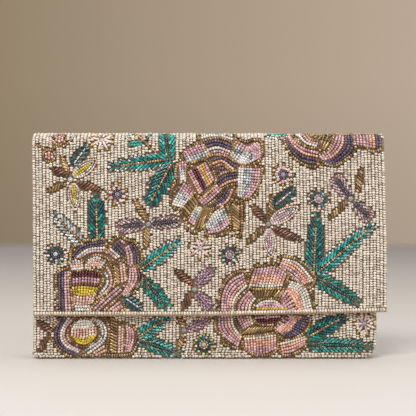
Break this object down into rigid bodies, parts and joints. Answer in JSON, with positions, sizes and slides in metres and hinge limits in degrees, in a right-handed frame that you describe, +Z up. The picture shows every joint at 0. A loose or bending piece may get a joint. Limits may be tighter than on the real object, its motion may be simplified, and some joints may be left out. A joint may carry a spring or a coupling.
{
  "type": "clutch purse",
  "caption": "Beaded foldover clutch: boarded back and front with side gussets, and a flap that folds over the front and shuts with a magnetic snap.",
  "frame": {"origin": "centre of the closed clutch's footprint, on the surface that it stands on", "axes": "+X from side to side, towards the right of the flap as it is faced; +Y from the flap to the back; +Z up"},
  "size_m": [0.25, 0.03, 0.16],
  "materials": {
    "flap_beads": "strung seed beads, pearl ivory with coloured motifs",
    "front_beads": "strung seed beads, pearl ivory with coloured motifs",
    "back_beads": "strung seed beads, pearl ivory with coloured motifs",
    "fold_beads": "strung seed beads, pearl ivory with coloured motifs",
    "hem_beads": "one row of pearl ivory seed beads",
    "base_cloth": "woven tan cloth",
    "wadding": "soft white felt",
    "board": "grey fibre board",
    "lining_satin": "champagne satin",
    "snap_metal": "polished gold plate",
    "magnet": "ground ferrite"
  },
  "bodies": {
    "body": {"back_base_cloth": "base_cloth", "back_beadwork": "back_beads", "back_board": "board", "back_lining": "lining_satin", "back_wadding": "wadding", "bottom_base_cloth": "base_cloth", "bottom_beadwork": "back_beads", "bottom_board": "board", "bottom_lining": "lining_satin", "fold_back_edge_base_cloth": "base_cloth", "fold_back_edge_beadwork": "fold_beads", "fold_back_edge_lining": "lining_satin", "fold_back_edge_wadding": "wadding", "gusset_left": "lining_satin", "gusset_right": "lining_satin", "slip_pocket": "lining_satin"},
    "fold": {"fold_beadwork": "fold_beads", "fold_base_cloth": "base_cloth", "fold_wadding": "wadding", "fold_lining": "lining_satin", "fold_front_edge_base_cloth": "base_cloth", "fold_front_edge_beadwork": "fold_beads", "fold_front_edge_lining": "lining_satin", "fold_front_edge_wadding": "wadding"},
    "flap": {"flap_base_cloth": "base_cloth", "flap_beadwork": "flap_beads", "flap_board": "board", "flap_lining": "lining_satin", "flap_wadding": "wadding", "hem_beads": "hem_beads", "hem_binding": "base_cloth", "snap_stud": "snap_metal", "snap_stud_washer": "snap_metal"},
    "front": {"front_base_cloth": "base_cloth", "front_beadwork": "front_beads", "front_board": "board", "front_lining": "lining_satin", "front_wadding": "wadding", "mouth_binding": "base_cloth", "snap_socket": "snap_metal", "snap_magnet": "magnet", "snap_socket_washer": "snap_metal"}
  },
  "joints": [
    {"name": "fold_hinge", "type": "hinge", "parent": "body", "child": "fold", "pos_m": [0, 0.01285, 0.15785], "axis": [-1, 0, 0], "range_deg": [0, 90], "deforming": ["fold_back_edge_base_cloth", "fold_back_edge_beadwork", "fold_back_edge_lining", "fold_back_edge_wadding"]},
    {"name": "flap_hinge", "type": "hinge", "parent": "fold", "child": "flap", "pos_m": [0, -0.01285, 0.15785], "axis": [-1, 0, 0], "range_deg": [0, 90], "deforming": ["fold_front_edge_base_cloth", "fold_front_edge_beadwork", "fold_front_edge_lining", "fold_front_edge_wadding"]},
    {"name": "mouth_hinge", "type": "hinge", "parent": "body", "child": "front", "pos_m": [0, -0.0095, 0.0053], "axis": [1, 0, 0], "range_deg": [0, 8], "deforming": ["gusset_left", "gusset_right"]}
  ],
  "couplings": [
    {"joint": "flap_hinge", "follows": "fold_hinge", "ratio": 1},
    {"joint": "mouth_hinge", "follows": "fold_hinge", "ratio": 0.0888}
  ]
}
